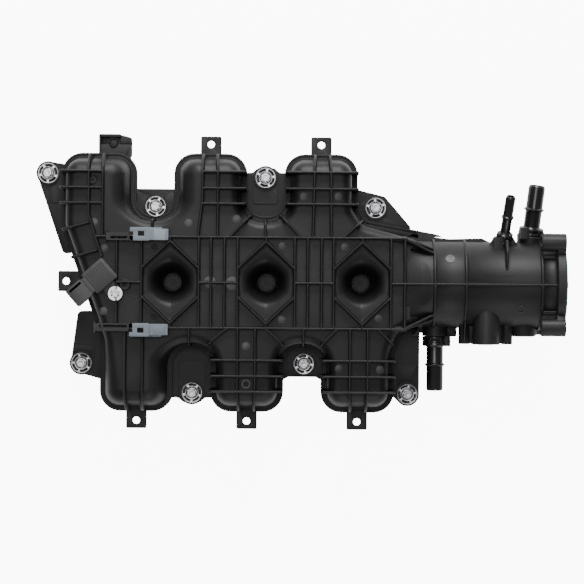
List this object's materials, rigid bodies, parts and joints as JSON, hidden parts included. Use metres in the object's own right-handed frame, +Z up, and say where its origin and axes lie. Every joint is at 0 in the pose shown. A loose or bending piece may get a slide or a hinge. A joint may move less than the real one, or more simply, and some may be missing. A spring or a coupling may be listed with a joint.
{
  "type": "intake manifold",
  "caption": "Moulded plastic intake manifold for a V6 engine, with a ribbed plenum, runner lobes, a round throttle neck, tube fittings and captive bolts.",
  "frame": {"origin": "on the plane of the port faces, under the middle tie post, on the middle foot of the plenum pan", "axes": "+X along the engine to the throttle flange, +Y across to the rear bank, +Z up out of the engine"},
  "size_m": [0.5059, 0.2831, 0.1133],
  "materials": {
    "glass_filled_nylon": "moulded satin black glass-filled nylon",
    "fitting_nylon": "smooth satin black nylon",
    "seal_rubber": "matt black rubber",
    "zinc_steel": "bright zinc plate",
    "insert_brass": "knurled brass",
    "gasket_rubber": "green rubber",
    "sensor_plastic": "charcoal moulded plastic",
    "clip_plastic": "blue-grey moulded plastic"
  },
  "bodies": {
    "manifold": {"upper_shell": "glass_filled_nylon", "runner_shell": "glass_filled_nylon", "port_rail_rear": "glass_filled_nylon", "port_rail_front": "glass_filled_nylon", "plenum_pan": "glass_filled_nylon", "throttle_neck": "glass_filled_nylon", "tie_post_1": "glass_filled_nylon", "tie_post_2": "glass_filled_nylon", "tie_post_3": "glass_filled_nylon", "crankcase_vent_fitting": "fitting_nylon", "brake_booster_fitting": "fitting_nylon", "purge_fitting": "fitting_nylon", "port_seal_1": "seal_rubber", "port_seal_2": "seal_rubber", "port_seal_3": "seal_rubber", "port_seal_4": "seal_rubber", "port_seal_5": "seal_rubber", "port_seal_6": "seal_rubber", "map_sensor_o_ring": "seal_rubber", "bolt_retainer_1": "zinc_steel", "bolt_retainer_2": "zinc_steel", "bolt_retainer_3": "zinc_steel", "bolt_retainer_4": "zinc_steel", "bolt_retainer_5": "zinc_steel", "bolt_retainer_6": "zinc_steel", "bolt_retainer_7": "zinc_steel", "bolt_retainer_8": "zinc_steel", "map_sensor_screw": "zinc_steel", "throttle_insert_1": "insert_brass", "throttle_insert_2": "insert_brass", "throttle_insert_3": "insert_brass", "throttle_insert_4": "insert_brass", "throttle_gasket": "gasket_rubber", "map_sensor": "sensor_plastic", "clip_rear": "clip_plastic", "clip_front": "clip_plastic"},
    "captive_bolt_1": {"bolt_1": "zinc_steel"},
    "captive_bolt_2": {"bolt_2": "zinc_steel"},
    "captive_bolt_3": {"bolt_3": "zinc_steel"},
    "captive_bolt_4": {"bolt_4": "zinc_steel"},
    "captive_bolt_5": {"bolt_5": "zinc_steel"},
    "captive_bolt_6": {"bolt_6": "zinc_steel"},
    "captive_bolt_7": {"bolt_7": "zinc_steel"},
    "captive_bolt_8": {"bolt_8": "zinc_steel"}
  },
  "joints": [
    {"name": "bolt_1_lift", "type": "slide", "parent": "manifold", "child": "captive_bolt_1", "axis": [0, 0, 1], "range_m": [0, 0.012]},
    {"name": "bolt_2_lift", "type": "slide", "parent": "manifold", "child": "captive_bolt_2", "axis": [0, 0, 1], "range_m": [0, 0.012]},
    {"name": "bolt_3_lift", "type": "slide", "parent": "manifold", "child": "captive_bolt_3", "axis": [0, 0, 1], "range_m": [0, 0.012]},
    {"name": "bolt_4_lift", "type": "slide", "parent": "manifold", "child": "captive_bolt_4", "axis": [0, 0, 1], "range_m": [0, 0.012]},
    {"name": "bolt_5_lift", "type": "slide", "parent": "manifold", "child": "captive_bolt_5", "axis": [0, 0, 1], "range_m": [0, 0.012]},
    {"name": "bolt_6_lift", "type": "slide", "parent": "manifold", "child": "captive_bolt_6", "axis": [0, 0, 1], "range_m": [0, 0.012]},
    {"name": "bolt_7_lift", "type": "slide", "parent": "manifold", "child": "captive_bolt_7", "axis": [0, 0, 1], "range_m": [0, 0.012]},
    {"name": "bolt_8_lift", "type": "slide", "parent": "manifold", "child": "captive_bolt_8", "axis": [0, 0, 1], "range_m": [0, 0.012]}
  ]
}
